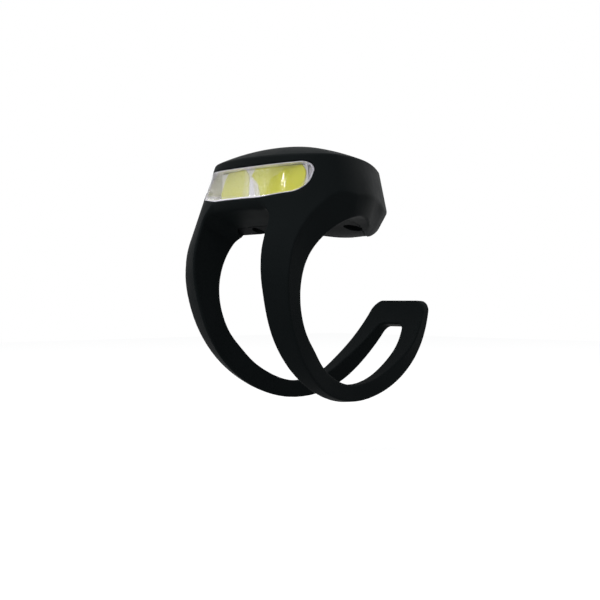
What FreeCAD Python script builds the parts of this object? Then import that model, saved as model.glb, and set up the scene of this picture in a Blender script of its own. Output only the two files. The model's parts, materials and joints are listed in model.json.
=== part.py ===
import FreeCAD, Part
import math
import os
from FreeCAD import Vector

# Bicycle headlight. Millimetres. The origin is on the axis of the handlebar seat, midway between
# the two strap legs. +X runs along the handlebar, the light shines along -Y, +Z is up.

# Seat for the handlebar
SEAT_RADIUS = 14.75
SEAT_REAR_ANGLE = 80.0
SADDLE_REAR_Y = 15.0
TAIL_LIFT = 1.3
TAIL_LIFT_LENGTH = 5.5

# Head outline, seen from above, at the rim under the dome
HEAD_FRONT = 16.9
HEAD_HALF_WIDTH = 16.8
HEAD_WIDEST_Y = -7.7
HEAD_NOSE = 20.0
NOSE_RADIUS = 3.4
NOSE_SLANT = 52.0
FRONT_HANDLE = 10.0
CORNER_HANDLE = 4.5
SIDE_HANDLE = 9.0
TAIL_HANDLE = 8.5
SHARPEST_NOSE = 1.6

# Head wall and the slanted band under it
RIM_CLEARANCE = 0.3
WALL_DRAFT = 18.3
WALL_HEIGHT = 7.5
BAND_SLOPE = 21.8
BAND_DEPTH = 4.0
DOME_RISE = 3.1
DOME_CENTRE_Y = -3.0
DOME_SCALES = [1.0, 0.85, 0.68, 0.5, 0.32, 0.16, 0.05]
NOSE_GROWTH = 0.75

# Edge between the wall and the band, from the head's side down to the front of a leg: how far
# behind the seat axis and how far below the widest height
EDGE_POINTS = [
    (-6.0, 0.0),
    (-9.4, 0.4),
    (-13.3, 2.15),
    (-16.1, 5.1),
    (-17.6, 8.0),
    (-18.6, 10.7),
]

# Stack of the pod, from the saddle up
SADDLE_THICKNESS = 1.65
FLANGE_THICKNESS = 0.8
CASE_FLOOR = 1.2
PAD_THICKNESS = 0.4
BATTERY_THICKNESS = 3.8
BATTERY_GAP = 0.2
BOARD_THICKNESS = 0.8
BOARD_CLEARANCE = 0.2
SWITCH_HEIGHT = 1.0
LID_GAP = 0.2
LID_THICKNESS = 1.0

# Pod, inside the silicone
SLEEVE_WALL = 1.8
CASE_WALL = 1.0
POD_REAR_INSET = 6.6
FIT = 0.05
FLANGE_INSET = 1.8
PLATE_INSET = 2.4
PLATE_SIDE_INSET = 0.6
PLATE_FRONT_INSET = 4.9
PLATE_CORNER = 3.0
PLATE_RECESS = 0.3
SEAL_WIDTH = 0.8
SEAL_INSET = 0.4
LID_SEAL_WIDTH = 0.5
SEAL_HEIGHT = 0.35

# Window, lens and light module
WINDOW_SIDE = 1.15
WINDOW_HEIGHT = 6.95
WINDOW_DROP = 8.35
WINDOW_TOP_CORNER = 1.7
WINDOW_LOW_CORNER = 4.5
LENS_RECESS = 0.15
LENS_RIM = 0.5
LENS_BACK_INSET = 0.9
MODULE_DEPTH = 7.0
FIELD_END = 3.3
FIELD_HEIGHT = 4.7
FIELD_THICKNESS = 0.35
FIELD_MARGIN = 0.2
FIELD_ANGLE = 16.0
FIELD_APEX_INSET = 1.4
FIELD_GAP = 0.5
LIGHT_BOARD_THICKNESS = 1.0
BRACKET_THICKNESS = 0.8
BRACKET_HEIGHT = 3.4
PIN_RADIUS = 0.2
PIN_PLACES = [-4.5, -2.0, 2.0, 4.5]

# Screws and posts
FRONT_SCREW_SIDE_INSET = 13.6
REAR_SCREW_SIDE_INSET = 10.9
SCREW_FRONT_INSET = 6.7
SCREW_REAR_INSET = 5.8
SCREW_SHANK_RADIUS = 0.7
SCREW_HEAD_RADIUS = 1.2
SCREW_HEAD_HEIGHT = 0.8
SCREW_SLOT_WIDTH = 0.4
SCREW_GRIP = 1.2
BOSS_RADIUS = 1.5
BOSS_ROOF = 0.5
FRONT_WELL_RADIUS = 1.25
REAR_WELL_RADIUS = 1.6
DIMPLE_ROOF = 1.3
DIMPLE_Y = 4.5
POST_RADIUS = 1.2
POST_SIDE_INSET = 7.6
POST_FRONT_INSET = 8.7
POST_SPACING = 9.2
BOARD_SCREW_GRIP = 1.6
BOARD_HEAD_HEIGHT = 0.7
THREAD_CLEARANCE = 0.02

# Button
BUTTON_RADIUS = 7.5
BUTTON_Y = -1.0
BUTTON_GAP = 0.25
BUTTON_TRAVEL = 0.5
PLUNGER_RADIUS = 1.4
SWITCH_SIZE = 4.5

# Small parts on the board
SOCKET_HALF_WIDTH = 3.7
SOCKET_HEIGHT = 2.4
SOCKET_LENGTH = 5.0
SOCKET_WALL = 0.35
SOCKET_BACK = 1.0
CHIP_SIZE = 3.0
CHIP_HEIGHT = 0.7
LEAD_RADIUS = 0.3
LEAD_X = 2.0
LEAD_DROP = 1.5
LEAD_LOOP = 0.9
LEAD_BEND = 0.4

# Battery
BATTERY_SIDE_INSET = 8.8
BATTERY_FRONT_INSET = 11.0
BATTERY_REAR_INSET = 7.5
PAD_INSET = 0.5

# Strap: stations round the seat axis. Angles are in degrees from +Y towards +Z. For each one,
# how far the outer edge lies outside the seat radius, the crown above it at mid width, the half
# width at that edge, how far the inner face lies outside the seat radius, and the half width there.
STRAP_STATIONS = [
    (104.0, 4.25, 1.5, 18.6, -0.15, 17.0),
    (117.0, 5.55, 2.6, 18.5, -0.15, 16.6),
    (129.0, 6.25, 3.4, 17.9, -0.15, 16.1),
    (141.0, 6.25, 4.2, 16.8, -0.15, 15.4),
    (152.0, 5.65, 4.2, 16.1, -0.15, 14.9),
    (164.0, 5.15, 4.0, 15.7, -0.15, 14.6),
    (180.0, 4.45, 2.9, 15.2, -0.15, 14.2),
    (200.0, 3.85, 2.5, 14.4, -0.15, 13.6),
    (220.0, 3.8, 2.2, 13.4, -0.1, 12.8),
    (240.0, 4.5, 1.9, 12.2, 0.45, 11.6),
    (260.0, 5.8, 1.1, 10.8, 1.9, 10.1),
    (280.0, 7.45, 0.6, 9.9, 3.85, 9.1),
    (300.0, 9.2, 0.4, 9.4, 5.85, 8.7),
    (320.0, 11.5, 0.3, 9.1, 8.25, 8.8),
    (338.0, 13.5, 0.25, 8.6, 10.65, 8.6),
    (350.0, 14.8, 0.2, 8.0, 12.3, 7.8),
    (356.7, 15.35, 0.2, 7.5, 13.3, 7.3),
]

# Slot between the legs: angle and half width
SLOT_STATIONS = [
    (180.0, 9.9),
    (200.0, 9.5),
    (220.0, 9.3),
    (240.0, 8.9),
    (260.0, 8.2),
    (280.0, 7.3),
    (300.0, 6.2),
    (320.0, 5.1),
    (335.0, 3.9),
    (345.3, 2.6),
]
SLOT_END_CORNER = 1.3
SLOT_TOP_WIDTH = 10.0
SLOT_FRONT_Y = -18.5
SLOT_FRONT_RISE = 1.15
SLOT_REAR_Y = -8.2
SLOT_CORNER = 2.6
SLOT_CUT_INSIDE = 3.0
SLOT_CUT_OUTSIDE = 20.0

# Flexing joints of the strap
JOINT_ANGLES = [200.0, 235.0, 270.0, 306.0]
JOINT_GAP = 0.2
JOINT_DISC_SHARE = 0.53
LEG_CROWN_SHARE = 0.45
STRAP_START_ANGLE = 90.0
STRAP_END_ANGLE = 362.0
SECTOR_STEP = 30.0

POD_BOTTOM = SEAT_RADIUS + SADDLE_THICKNESS
CASE_BOTTOM = POD_BOTTOM + FLANGE_THICKNESS
CASE_TOP_OF_FLOOR = CASE_BOTTOM + CASE_FLOOR
BATTERY_BOTTOM = CASE_TOP_OF_FLOOR + PAD_THICKNESS
BOARD_BOTTOM = BATTERY_BOTTOM + BATTERY_THICKNESS + BATTERY_GAP
BOARD_TOP = BOARD_BOTTOM + BOARD_THICKNESS
LID_BOTTOM = BOARD_TOP + SWITCH_HEIGHT + LID_GAP
POD_TOP = LID_BOTTOM + LID_THICKNESS
POD_REAR = HEAD_NOSE - POD_REAR_INSET
RIM_Z = POD_TOP + RIM_CLEARANCE
EDGE_Z = RIM_Z - WALL_HEIGHT
DRAFT = math.tan(math.radians(WALL_DRAFT))
BAND = math.tan(math.radians(BAND_SLOPE))
EDGE_GROW = WALL_HEIGHT * DRAFT
WINDOW_HALF_WIDTH = HEAD_HALF_WIDTH - WINDOW_SIDE
WINDOW_LOW_Z = RIM_Z - WINDOW_DROP
WINDOW_MID_Z = WINDOW_LOW_Z + WINDOW_HEIGHT / 2
FIELD_HALF_LENGTH = WINDOW_HALF_WIDTH - FIELD_END
FIELD_APEX_Y = FIELD_APEX_INSET - HEAD_FRONT
FRONT_SCREW_X = HEAD_HALF_WIDTH - FRONT_SCREW_SIDE_INSET
REAR_SCREW_X = HEAD_HALF_WIDTH - REAR_SCREW_SIDE_INSET
SCREW_FRONT_Y = SCREW_FRONT_INSET - HEAD_FRONT
SCREW_REAR_Y = POD_REAR - SCREW_REAR_INSET
POST_X = HEAD_HALF_WIDTH - POST_SIDE_INSET
POST_FRONT_Y = POST_FRONT_INSET - HEAD_FRONT
POST_REAR_Y = POST_FRONT_Y + POST_SPACING
BATTERY_HALF_WIDTH = HEAD_HALF_WIDTH - BATTERY_SIDE_INSET
BATTERY_FRONT_Y = BATTERY_FRONT_INSET - HEAD_FRONT
BATTERY_REAR_Y = POD_REAR - BATTERY_REAR_INSET
BAND_LOW_Z = SEAT_RADIUS - BAND_DEPTH
SLOT_FRONT_Z = SEAT_RADIUS + SLOT_FRONT_RISE
PLATE_HALF_WIDTH = SLOT_TOP_WIDTH - PLATE_SIDE_INSET
PLATE_FRONT_Y = PLATE_FRONT_INSET - HEAD_FRONT
SLOT_REAR_Z = math.sqrt(SEAT_RADIUS ** 2 - SLOT_REAR_Y ** 2)
REACH = 40.0


def outline(grow, z):
    """Closed wire of the head's egg outline, grown outwards, at one height. The nose grows less."""
    rear_grow = grow * NOSE_GROWTH if grow > 0 else grow
    front_y = -(HEAD_FRONT + grow)
    half = HEAD_HALF_WIDTH + grow
    share = half / HEAD_HALF_WIDTH
    radius = max(NOSE_RADIUS + rear_grow, SHARPEST_NOSE)
    nose_y = HEAD_NOSE + rear_grow
    centre_y = nose_y - radius
    slant = math.radians(NOSE_SLANT)
    touch = (radius * math.sin(slant), centre_y + radius * math.cos(slant))
    handle = (
        touch[0] + TAIL_HANDLE * share * math.cos(slant),
        touch[1] - TAIL_HANDLE * share * math.sin(slant),
    )
    edges = []
    for side in (1, -1):
        front = [
            Vector(0, front_y, z),
            Vector(side * FRONT_HANDLE * share, front_y, z),
            Vector(side * half, HEAD_WIDEST_Y - CORNER_HANDLE * share, z),
            Vector(side * half, HEAD_WIDEST_Y, z),
        ]
        flank = [
            Vector(side * half, HEAD_WIDEST_Y, z),
            Vector(side * half, HEAD_WIDEST_Y + SIDE_HANDLE * share, z),
            Vector(side * handle[0], handle[1], z),
            Vector(side * touch[0], touch[1], z),
        ]
        half_slant = slant / 2
        tip = [
            Vector(side * touch[0], touch[1], z),
            Vector(side * radius * math.sin(half_slant), centre_y + radius * math.cos(half_slant), z),
            Vector(0, nose_y, z),
        ]
        if side == -1:
            front.reverse()
            flank.reverse()
            tip.reverse()
        first = bezier(front)
        second = bezier(flank)
        third = Part.Arc(*tip).toShape()
        edges.append([first, second, third])
    right, left = edges
    return Part.Wire(right + [left[2], left[1], left[0]])


def bezier(poles):
    curve = Part.BezierCurve()
    curve.setPoles(poles)
    return curve.toShape()


def prism(grow, low, high):
    """Straight solid with the head's outline."""
    face = Part.Face(outline(grow, low))
    return face.extrude(Vector(0, 0, high - low))


def loft(wires, ruled=False):
    return Part.makeLoft(wires, True, ruled)


def box(x0, x1, y0, y1, z0, z1):
    return Part.makeBox(x1 - x0, y1 - y0, z1 - z0, Vector(x0, y0, z0))


def rod(radius, length, x, y, z):
    return Part.makeCylinder(radius, length, Vector(x, y, z), Vector(0, 0, 1))


def seat_cylinder(radius):
    return Part.makeCylinder(radius, 2 * REACH, Vector(-REACH, 0, 0), Vector(1, 0, 0))


def ray(angle, radius, x=0.0):
    """Point at an angle round the seat axis."""
    turn = math.radians(angle)
    return Vector(x, radius * math.cos(turn), radius * math.sin(turn))


def polygon_prism(points):
    """Extrude a closed outline of (y, z) points along the whole width."""
    corners = [Vector(-REACH, y, z) for y, z in points]
    face = Part.Face(Part.makePolygon(corners + [corners[0]]))
    return face.extrude(Vector(2 * REACH, 0, 0))


def underside(recess):
    """Everything below the saddle: the bar's space and the flat that leaves it at the rear."""
    radius = SEAT_RADIUS + recess
    start = ray(SEAT_REAR_ANGLE, radius)
    fall = math.tan(math.radians(90.0 - SEAT_REAR_ANGLE))
    rear_z = start.z - fall * (SADDLE_REAR_Y - start.y)
    lifted_y = SADDLE_REAR_Y + TAIL_LIFT_LENGTH
    wedge = polygon_prism([
        (0.0, 0.0),
        (start.y, start.z),
        (SADDLE_REAR_Y, rear_z),
        (lifted_y, rear_z + TAIL_LIFT),
        (REACH, rear_z + TAIL_LIFT),
        (REACH, 0.0),
    ])
    return seat_cylinder(radius).fuse(wedge)


def slot_floor(recess):
    """Everything below the sloped floor between the legs, as an inverted U."""
    top = SLOT_FRONT_Z + recess
    half = SLOT_TOP_WIDTH
    corner = SLOT_CORNER
    slant = (SLOT_REAR_Z - SLOT_FRONT_Z) / (SLOT_REAR_Y - SLOT_FRONT_Y)
    y = -REACH
    z = top + slant * (y - SLOT_FRONT_Y)
    turn = corner * (1 - math.sqrt(0.5))
    points = [Vector(half, y, z - corner), Vector(half - turn, y, z - turn), Vector(half - corner, y, z)]
    left = [Vector(-p.x, p.y, p.z) for p in reversed(points)]
    edges = [
        Part.makeLine(Vector(half, y, -REACH), points[0]),
        Part.Arc(*points).toShape(),
        Part.makeLine(points[2], left[0]),
        Part.Arc(*left).toShape(),
        Part.makeLine(left[2], Vector(-half, y, -REACH)),
        Part.makeLine(Vector(-half, y, -REACH), Vector(half, y, -REACH)),
    ]
    face = Part.Face(Part.Wire(edges))
    length = REACH + SLOT_REAR_Y
    tunnel = face.extrude(Vector(0, length, slant * length))
    return tunnel.common(box(-REACH, REACH, -REACH, 0, 0, REACH))


def strap_section(station):
    angle, outer, crown, half, inner, low = station
    outer += SEAT_RADIUS
    inner += SEAT_RADIUS
    outer_right = ray(angle, outer, half)
    outer_left = ray(angle, outer, -half)
    middle = ray(angle, outer + crown)
    inner_left = ray(angle, inner, -low)
    inner_right = ray(angle, inner, low)
    return Part.Wire([
        Part.Arc(outer_right, middle, outer_left).toShape(),
        Part.makeLine(outer_left, inner_left),
        Part.makeLine(inner_left, inner_right),
        Part.makeLine(inner_right, outer_right),
    ])


def slot_section(station):
    angle, half = station
    corners = [
        ray(angle, SEAT_RADIUS + SLOT_CUT_OUTSIDE, half),
        ray(angle, SEAT_RADIUS + SLOT_CUT_OUTSIDE, -half),
        ray(angle, SEAT_RADIUS - SLOT_CUT_INSIDE, -half),
        ray(angle, SEAT_RADIUS - SLOT_CUT_INSIDE, half),
    ]
    return Part.makePolygon(corners + [corners[0]])


def slot_cut():
    cut = loft([slot_section(s) for s in SLOT_STATIONS])
    angle = SLOT_STATIONS[-1][0]
    end = ray(angle, SEAT_RADIUS + (SLOT_CUT_OUTSIDE - SLOT_CUT_INSIDE) / 2)
    corners = [e for e in cut.Edges if abs(e.CenterOfMass.x) > 1 and e.CenterOfMass.distanceToPoint(end) < 4]
    return cut.makeFillet(SLOT_END_CORNER, corners)


def strap_blank():
    """Both legs and the tab in one piece, with the slot cut out."""
    blank = loft([strap_section(s) for s in STRAP_STATIONS])
    blank = blank.cut(seat_cylinder(SEAT_RADIUS))
    return blank.cut(slot_cut()).cut(slot_floor(0.0))


def dome():
    """Low dome on the rim: the outline shrinks towards a point as its height grows."""
    rings = []
    for scale in DOME_SCALES:
        height = DOME_RISE * (1 - scale ** 2)
        shrink = FreeCAD.Matrix()
        shrink.scale(scale, scale, 1.0)
        shrink.move(Vector(0, (1 - scale) * DOME_CENTRE_Y, height))
        rings.append(Part.Wire(outline(0.0, RIM_Z).transformGeometry(shrink).Edges))
    return loft(rings)


def outside_edge():
    """Everything above and in front of the edge that the wall ends on."""
    points = [Vector(-REACH, y, EDGE_Z - drop) for y, drop in EDGE_POINTS]
    curve = Part.BSplineCurve()
    curve.interpolate(points, InitialTangent=Vector(0, -1, 0), FinalTangent=Vector(0, -0.35, -1))
    last = points[-1]
    corners = [
        last,
        Vector(-REACH, -REACH, last.z),
        Vector(-REACH, -REACH, REACH),
        Vector(-REACH, REACH, REACH),
        Vector(-REACH, REACH, EDGE_Z),
        points[0],
    ]
    lines = [Part.makeLine(a, b) for a, b in zip(corners, corners[1:])]
    face = Part.Face(Part.Wire([curve.toShape()] + lines))
    return face.extrude(Vector(2 * REACH, 0, 0))


def head_blank():
    """Solid head: drafted wall down to its edge, slanted band and dome."""
    low = EDGE_Z - EDGE_POINTS[-1][1]
    wall = loft([outline(0.0, RIM_Z), outline((RIM_Z - low) * DRAFT, low)], True)
    wall = wall.common(outside_edge())
    narrow = EDGE_GROW - (EDGE_Z - BAND_LOW_Z) * BAND
    band = loft([outline(EDGE_GROW, EDGE_Z), outline(narrow, BAND_LOW_Z)], True)
    return wall.fuse(band).fuse(dome())


def pod_block(grow, low, high):
    """Solid with the pod's outline, flat at its rear."""
    keep = box(-REACH, REACH, -REACH, POD_REAR + grow, low, high)
    return prism(grow - SLEEVE_WALL, low, high).common(keep)


def window_prism(margin, depth=REACH):
    """The rounded window, extruded from the front to a depth behind the head's front."""
    half = WINDOW_HALF_WIDTH - margin
    low = WINDOW_LOW_Z + margin
    high = WINDOW_LOW_Z + WINDOW_HEIGHT - margin
    solid = box(-half, half, -REACH, depth - HEAD_FRONT, low, high)
    for corner, height in ((WINDOW_TOP_CORNER, high), (WINDOW_LOW_CORNER, low)):
        edges = [
            e for e in solid.Edges
            if abs(abs(e.CenterOfMass.x) - half) < 1e-6 and abs(e.CenterOfMass.z - height) < 1e-6
        ]
        solid = solid.makeFillet(corner - margin, edges)
    return solid


def wall_solid(grow):
    """The head's drafted wall, grown, without dome or band."""
    fall = RIM_Z - EDGE_Z + WALL_HEIGHT
    return loft([outline(grow, RIM_Z), outline(grow + fall * DRAFT, RIM_Z - fall)], True)


def window_pocket():
    """The hole in the silicone for the lens."""
    return window_prism(0.0, SLEEVE_WALL + HEAD_FRONT + HEAD_WIDEST_Y)


def button_hole(gap):
    return rod(BUTTON_RADIUS + gap, REACH, 0, BUTTON_Y, POD_TOP)


def make_sleeve():
    head = head_blank().cut(underside(0.0)).cut(slot_floor(0.0))
    upper = strap_blank().common(region(None, 0))
    body = head.fuse(upper)
    body = body.cut(pod_block(FIT, POD_BOTTOM, POD_TOP))
    body = body.cut(plate_prism(FIT, 0, POD_BOTTOM + FIT))
    body = body.cut(window_pocket())
    body = body.cut(button_hole(BUTTON_GAP))
    return body


def joint_centre(index):
    """Middle of a leg's thickness at a joint, and the radius of the disc there."""
    angle = JOINT_ANGLES[index]
    before = [s for s in STRAP_STATIONS if s[0] <= angle][-1]
    after = [s for s in STRAP_STATIONS if s[0] > angle][0]
    share = (angle - before[0]) / (after[0] - before[0])
    outer, crown, inner = [before[i] + share * (after[i] - before[i]) for i in (1, 2, 4)]
    inner = SEAT_RADIUS + max(inner, 0.0)
    outer += SEAT_RADIUS + LEG_CROWN_SHARE * crown
    return ray(angle, (outer + inner) / 2), (outer - inner) * JOINT_DISC_SHARE


def sector(start, end):
    """Wedge round the seat axis between two angles."""
    steps = int((end - start) / SECTOR_STEP) + 2
    arc = [start + (end - start) * i / steps for i in range(steps + 1)]
    points = [(0.0, 0.0)]
    for angle in arc:
        rim = ray(angle, 2 * REACH)
        points.append((rim.y, rim.z))
    return polygon_prism(points)


def region(before, after):
    """Space of one strap length, from the joint before it to the joint after it."""
    start = STRAP_START_ANGLE if before is None else JOINT_ANGLES[before]
    end = STRAP_END_ANGLE if after is None else JOINT_ANGLES[after]
    space = sector(start, end)
    if before is not None:
        space = space.fuse(joint_disc(before, 0.0))
    if after is not None:
        space = space.cut(joint_disc(after, JOINT_GAP))
    return space


def joint_disc(index, gap):
    centre, radius = joint_centre(index)
    return Part.makeCylinder(radius + gap, 2 * REACH, centre - Vector(REACH, 0, 0), Vector(1, 0, 0))


def make_strap(shapes):
    blank = strap_blank()
    names = ["upper", "lower", "tail"]
    for index, name in enumerate(names):
        piece = blank.common(region(index, index + 1))
        for label, x0, x1 in (("left", -REACH, 0), ("right", 0, REACH)):
            leg = piece.common(box(x0, x1, -REACH, REACH, -REACH, REACH))
            shapes["strap_%s_%s" % (label, name)] = max(leg.Solids, key=lambda s: s.Volume)
    shapes["strap_tip"] = blank.common(region(3, None))


def make_button(shapes):
    pad_bottom = POD_TOP + BUTTON_TRAVEL + LID_GAP
    stem_bottom = BOARD_TOP + SWITCH_HEIGHT - FIT
    above = box(-REACH, REACH, -REACH, REACH, pad_bottom, REACH)
    shapes["button_pad"] = head_blank().common(button_hole(0.0)).common(above)
    shapes["switch_plunger"] = rod(PLUNGER_RADIUS, pad_bottom - stem_bottom, 0, BUTTON_Y, stem_bottom)


def plate_prism(grow, low, high):
    """Outline of the base plate between the legs, with rounded front corners."""
    half = PLATE_HALF_WIDTH + grow
    front = PLATE_FRONT_Y - grow
    frame = box(-half, half, front, REACH, low, high)
    corners = [
        e for e in frame.Edges
        if abs(e.CenterOfMass.y - front) < 1e-6 and abs(abs(e.CenterOfMass.x) - half) < 1e-6
    ]
    frame = frame.makeFillet(PLATE_CORNER, corners)
    return prism(grow - PLATE_INSET, low, high).common(frame)


def screw_places():
    front = [(side * FRONT_SCREW_X, SCREW_FRONT_Y, FRONT_WELL_RADIUS) for side in (-1, 1)]
    rear = [(side * REAR_SCREW_X, SCREW_REAR_Y, REAR_WELL_RADIUS) for side in (-1, 1)]
    return front + rear


def post_places():
    return [(side * POST_X, y) for y in (POST_FRONT_Y, POST_REAR_Y) for side in (-1, 1)]


def make_base(shapes):
    plate = plate_prism(0.0, BAND_LOW_Z, POD_BOTTOM)
    flange = prism(-FLANGE_INSET, POD_BOTTOM, CASE_BOTTOM)
    flange = flange.common(box(-REACH, REACH, -REACH, POD_REAR, 0, REACH))
    plate = plate.cut(underside(PLATE_RECESS)).cut(slot_floor(PLATE_RECESS)).fuse(flange)
    plate = plate.cut(seal_ring(FIT))
    screws = []
    shank_length = FLANGE_THICKNESS + CASE_FLOOR + SCREW_GRIP
    for x, y, well in screw_places():
        plate = plate.cut(rod(well, POD_BOTTOM, x, y, 0.0))
        plate = plate.cut(rod(SCREW_SHANK_RADIUS + THREAD_CLEARANCE, REACH, x, y, 0.0))
        head_z = POD_BOTTOM - SCREW_HEAD_HEIGHT
        head = rod(SCREW_HEAD_RADIUS, SCREW_HEAD_HEIGHT, x, y, head_z)
        half = SCREW_SLOT_WIDTH / 2
        slot = box(x - well, x + well, y - half, y + half, head_z, head_z + SCREW_SLOT_WIDTH)
        shank = rod(SCREW_SHANK_RADIUS, shank_length, x, y, POD_BOTTOM)
        screws.append(head.cut(slot).fuse(shank))
    plate = plate.cut(rod(REAR_WELL_RADIUS, POD_BOTTOM - DIMPLE_ROOF, 0.0, DIMPLE_Y, 0.0))
    shapes["base_plate"] = plate
    shapes["base_seal"] = seal_ring(0.0)
    shapes["base_screws"] = Part.makeCompound(screws)


def ring(outer_inset, width, gap, low, high):
    """Flat ring that follows the pod's outline."""
    rear = POD_REAR - outer_inset + SLEEVE_WALL
    outer = prism(gap - outer_inset, low, high)
    outer = outer.common(box(-REACH, REACH, -REACH, rear + gap, low, high))
    inner = prism(-outer_inset - width - gap, low, high)
    inner = inner.common(box(-REACH, REACH, -REACH, rear - width - gap, low, high))
    return outer.cut(inner)


def seal_ring(gap):
    return ring(FLANGE_INSET + SEAL_INSET, SEAL_WIDTH, gap, CASE_BOTTOM - SEAL_HEIGHT, CASE_BOTTOM)


def lid_ring(gap):
    inset = SLEEVE_WALL + (CASE_WALL - LID_SEAL_WIDTH) / 2
    return ring(inset, LID_SEAL_WIDTH, gap, LID_BOTTOM - SEAL_HEIGHT, LID_BOTTOM)


def make_case(shapes):
    case = pod_block(0.0, CASE_BOTTOM, LID_BOTTOM)
    inner = prism(-SLEEVE_WALL - CASE_WALL, CASE_TOP_OF_FLOOR, LID_BOTTOM)
    inner = inner.common(box(-REACH, REACH, -REACH, POD_REAR - CASE_WALL, 0, REACH))
    case = case.cut(inner)
    space = pod_block(0.0, CASE_BOTTOM, LID_BOTTOM)
    hole = SCREW_SHANK_RADIUS + THREAD_CLEARANCE
    for x, y, _ in screw_places():
        boss = rod(BOSS_RADIUS, SCREW_GRIP + BOSS_ROOF, x, y, CASE_TOP_OF_FLOOR)
        case = case.fuse(boss.common(space))
    for x, y in post_places():
        post = rod(POST_RADIUS, BOARD_BOTTOM - CASE_TOP_OF_FLOOR, x, y, CASE_TOP_OF_FLOOR)
        case = case.fuse(post.common(space))
    for x, y, _ in screw_places():
        depth = CASE_FLOOR + SCREW_GRIP + THREAD_CLEARANCE
        case = case.cut(rod(hole, depth, x, y, CASE_BOTTOM))
    for x, y in post_places():
        depth = BOARD_SCREW_GRIP + THREAD_CLEARANCE
        case = case.cut(rod(hole, depth, x, y, BOARD_BOTTOM - depth))
    case = case.cut(window_prism(LENS_RIM, HEAD_FRONT + HEAD_WIDEST_Y))
    mouth = box(
        -SOCKET_HALF_WIDTH - FIT, SOCKET_HALF_WIDTH + FIT,
        POD_REAR - 2 * CASE_WALL, REACH,
        BOARD_BOTTOM - SOCKET_HEIGHT - FIT, BOARD_BOTTOM + FIT,
    )
    case = case.cut(mouth).cut(lid_ring(THREAD_CLEARANCE))
    lid = pod_block(0.0, LID_BOTTOM, POD_TOP)
    lid = lid.cut(rod(PLUNGER_RADIUS + FIT, REACH, 0, BUTTON_Y, 0))
    shapes["pod_case"] = case
    shapes["pod_lid"] = lid
    shapes["lid_seal"] = lid_ring(0.0)


def make_board(shapes):
    front_y = POST_FRONT_Y - POST_RADIUS
    rear_y = POD_REAR - CASE_WALL - 2 * FIT
    board = prism(-SLEEVE_WALL - CASE_WALL - BOARD_CLEARANCE, BOARD_BOTTOM, BOARD_TOP)
    board = board.common(box(-REACH, REACH, front_y, rear_y, 0, REACH))
    screws = []
    for x, y in post_places():
        board = board.cut(rod(SCREW_SHANK_RADIUS + THREAD_CLEARANCE, REACH, x, y, 0))
        length = BOARD_SCREW_GRIP + BOARD_THICKNESS
        head = rod(SCREW_HEAD_RADIUS, BOARD_HEAD_HEIGHT, x, y, BOARD_TOP)
        shank = rod(SCREW_SHANK_RADIUS, length, x, y, BOARD_TOP - length)
        screws.append(head.fuse(shank))
    shapes["circuit_board"] = board
    shapes["board_screws"] = Part.makeCompound(screws)
    half = SWITCH_SIZE / 2
    switch_top = BOARD_TOP + SWITCH_HEIGHT
    switch = box(-half, half, BUTTON_Y - half, BUTTON_Y + half, BOARD_TOP, switch_top)
    well = rod(PLUNGER_RADIUS + FIT, REACH, 0, BUTTON_Y, switch_top - BUTTON_TRAVEL - 2 * FIT)
    shapes["switch_body"] = switch.cut(well)
    chips = []
    for side in (-1, 1):
        x = side * (SWITCH_SIZE + CHIP_SIZE / 2)
        chips.append(box(
            x - CHIP_SIZE / 2, x + CHIP_SIZE / 2,
            BUTTON_Y - CHIP_SIZE / 2, BUTTON_Y + CHIP_SIZE / 2,
            BOARD_TOP, BOARD_TOP + CHIP_HEIGHT,
        ))
    shapes["driver_chips"] = Part.makeCompound(chips)
    socket_rear = POD_REAR - CASE_WALL / 2
    socket_low = BOARD_BOTTOM - SOCKET_HEIGHT
    socket = box(
        -SOCKET_HALF_WIDTH, SOCKET_HALF_WIDTH, socket_rear - SOCKET_LENGTH, socket_rear,
        socket_low, BOARD_BOTTOM,
    )
    mouth = box(
        -SOCKET_HALF_WIDTH + SOCKET_WALL, SOCKET_HALF_WIDTH - SOCKET_WALL,
        socket_rear - SOCKET_LENGTH + SOCKET_BACK, REACH,
        socket_low + SOCKET_WALL, BOARD_BOTTOM - SOCKET_WALL,
    )
    tongue = box(
        -SOCKET_HALF_WIDTH + 3 * SOCKET_WALL, SOCKET_HALF_WIDTH - 3 * SOCKET_WALL,
        socket_rear - SOCKET_LENGTH, socket_rear - SOCKET_BACK,
        BOARD_BOTTOM - SOCKET_HEIGHT / 2 - SOCKET_WALL / 2, BOARD_BOTTOM - SOCKET_HEIGHT / 2 + SOCKET_WALL / 2,
    )
    shapes["charge_socket"] = socket.cut(mouth).fuse(tongue)


def make_battery(shapes):
    half = BATTERY_HALF_WIDTH
    shapes["battery_pad"] = box(
        PAD_INSET - half, half - PAD_INSET, BATTERY_FRONT_Y + PAD_INSET, BATTERY_REAR_Y - PAD_INSET,
        CASE_TOP_OF_FLOOR, BATTERY_BOTTOM,
    )
    cell = box(
        -half, half, BATTERY_FRONT_Y, BATTERY_REAR_Y,
        BATTERY_BOTTOM, BATTERY_BOTTOM + BATTERY_THICKNESS,
    )
    edges = [e for e in cell.Edges if e.Length > 1.2 * BATTERY_THICKNESS]
    shapes["battery_cell"] = cell.makeFillet(BATTERY_THICKNESS / 4, edges)


def tilted(shape, side):
    """Turn a shape laid along X at the apex to the slope of one light field."""
    turned = shape.copy()
    turned.rotate(Vector(0, FIELD_APEX_Y, 0), Vector(0, 0, 1), side * FIELD_ANGLE)
    return turned


def field_box(side, start, length, front, depth, margin):
    """Slab behind the sloped plane of one light field."""
    half = FIELD_HEIGHT / 2 + margin
    x0, x1 = sorted((side * start, side * (start + length)))
    slab = box(
        x0, x1, FIELD_APEX_Y + front, FIELD_APEX_Y + front + depth,
        WINDOW_MID_Z - half, WINDOW_MID_Z + half,
    )
    return tilted(slab, side)


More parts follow.
